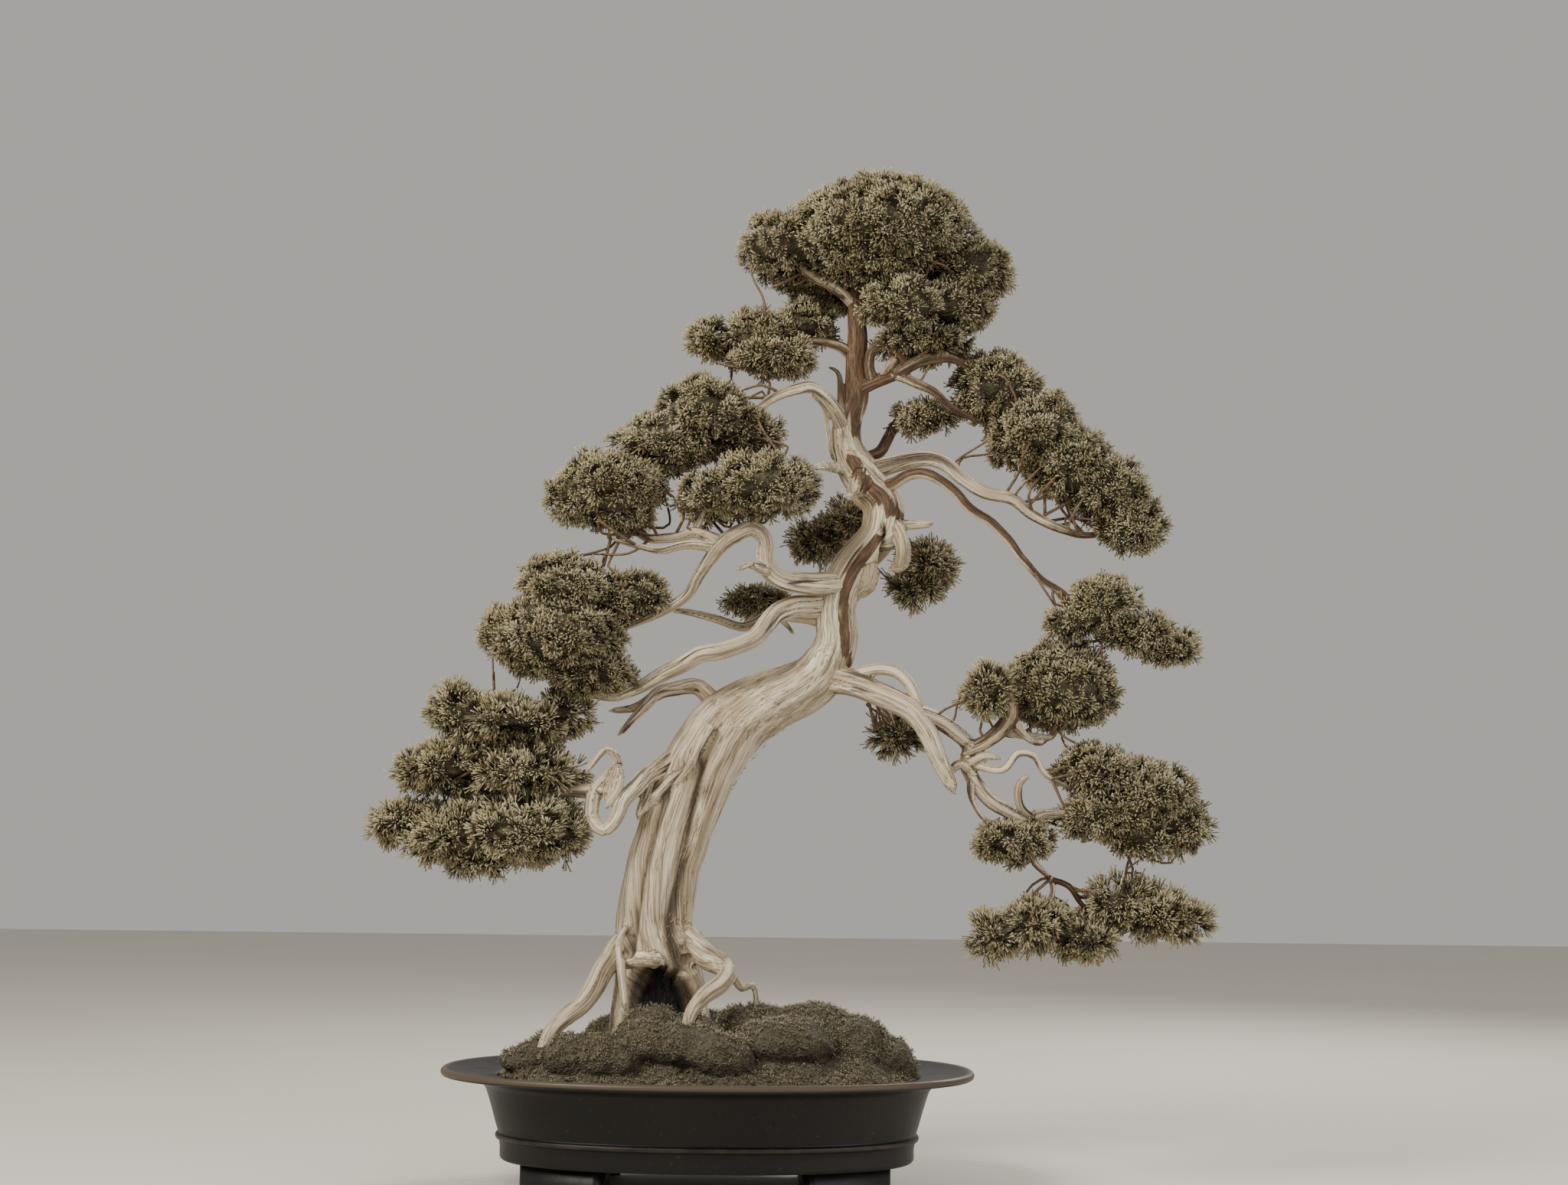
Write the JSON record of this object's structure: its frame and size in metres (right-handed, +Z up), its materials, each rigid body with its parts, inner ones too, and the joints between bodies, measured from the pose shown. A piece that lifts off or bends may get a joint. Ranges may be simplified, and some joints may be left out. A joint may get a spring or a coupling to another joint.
{
  "type": "bonsai tree in a pot",
  "caption": "Old trained juniper with a twisted, partly stripped trunk, layered foliage pads and moss, in a wide-lipped oval pot.",
  "frame": {"origin": "middle of the whole object's footprint, on the surface that it stands on", "axes": "+Z up, -Y towards the side that the tree is shown from, X along the pot's length"},
  "size_m": [0.789, 0.34, 0.9578],
  "materials": {
    "glaze": "satin",
    "screen": "matte",
    "soil": "matte",
    "moss": "matte",
    "deadwood": "matte",
    "bark": "matte",
    "foliage": "matte"
  },
  "bodies": {
    "root": {"pot": "glaze", "drain_screen_left": "screen", "drain_screen_right": "screen", "soil": "soil", "moss_far_left": "moss", "moss_front_left": "moss", "moss_front": "moss", "moss_foot": "moss", "moss_mound": "moss", "moss_right": "moss", "moss_back": "moss", "trunk": "deadwood", "low_left_branch": "bark", "left_jin_branch": "deadwood", "middle_left_branch": "bark", "back_left_branch": "bark", "upper_left_branch": "bark", "arching_jin": "deadwood", "top_left_branch": "bark", "shoulder_right_branch": "bark", "inner_right_branch": "bark", "right_branch": "bark", "right_long_branch": "bark", "lower_right_jin": "deadwood", "lower_right_branch": "bark", "right_cascade_branch": "bark", "inner_back_left_twig": "bark", "inner_back_right_twig": "bark", "crown_left_branch": "bark", "crown_right_branch": "bark", "crown_pad": "foliage", "top_left_pad": "foliage", "upper_left_high_pad": "foliage", "upper_left_low_pad": "foliage", "upper_left_inner_pad": "foliage", "middle_left_pad": "foliage", "low_left_upper_pad": "foliage", "low_left_middle_pad": "foliage", "low_left_lower_pad": "foliage", "back_left_pad": "foliage", "inner_back_left_pad": "foliage", "inner_back_right_pad": "foliage", "inner_right_pad": "foliage", "shoulder_pad": "foliage", "right_high_pad": "foliage", "right_low_pad": "foliage", "long_branch_pad": "foliage", "lower_right_top_pad": "foliage", "lower_right_tuft": "foliage", "lower_right_back_pad": "foliage", "lower_right_outer_pad": "foliage", "lower_right_inner_pad": "foliage", "cascade_left_pad": "foliage", "cascade_right_pad": "foliage"}
  },
  "joints": []
}
